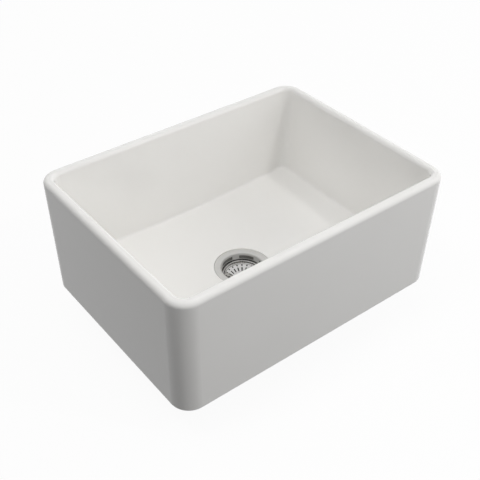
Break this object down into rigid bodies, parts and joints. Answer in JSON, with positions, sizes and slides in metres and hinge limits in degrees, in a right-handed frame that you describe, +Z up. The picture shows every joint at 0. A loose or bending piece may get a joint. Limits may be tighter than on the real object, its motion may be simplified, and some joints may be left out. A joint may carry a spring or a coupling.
{
  "type": "kitchen sink",
  "caption": "Single-bowl fireclay kitchen sink with rounded rim and drafted walls, and a basket strainer waste whose basket lifts out and whose stopper pulls up.",
  "frame": {"origin": "centre of the sink's underside, on the plane of the foot that the sink stands on", "axes": "+X to the right of a person facing the sink, -Y towards that person, +Z up"},
  "size_m": [0.6098, 0.4578, 0.321],
  "materials": {
    "glazed_fireclay": "white gloss glaze",
    "satin_stainless": "satin flange, bright inside",
    "polished_stainless": "polished stainless steel",
    "gasket_rubber": "matt black rubber",
    "moulded_plastic": "fine moulded texture",
    "nylon": "natural nylon",
    "brass": "machined brass"
  },
  "bodies": {
    "sink_assembly": {"sink_bowl": "glazed_fireclay", "flange_gasket": "gasket_rubber", "strainer_body": "satin_stainless", "housing_gasket": "gasket_rubber", "waste_housing": "moulded_plastic", "screw_insert": "brass", "screw_washer": "nylon", "clamp_screw": "polished_stainless"},
    "basket_assembly": {"basket": "polished_stainless", "hub_bush": "nylon", "bush_clip": "polished_stainless", "grip_ring": "gasket_rubber"},
    "stopper_assembly": {"stopper_seal": "gasket_rubber", "seal_plate": "polished_stainless", "seal_washer": "polished_stainless", "stem_nut": "polished_stainless", "stopper_stem": "polished_stainless", "lift_knob": "polished_stainless"}
  },
  "joints": [
    {"name": "basket_lift", "type": "slide", "parent": "sink_assembly", "child": "basket_assembly", "axis": [0, 0, 1], "range_m": [0, 0.29]},
    {"name": "stopper_pull", "type": "slide", "parent": "basket_assembly", "child": "stopper_assembly", "axis": [0, 0, 1], "range_m": [0, 0.0055]}
  ]
}
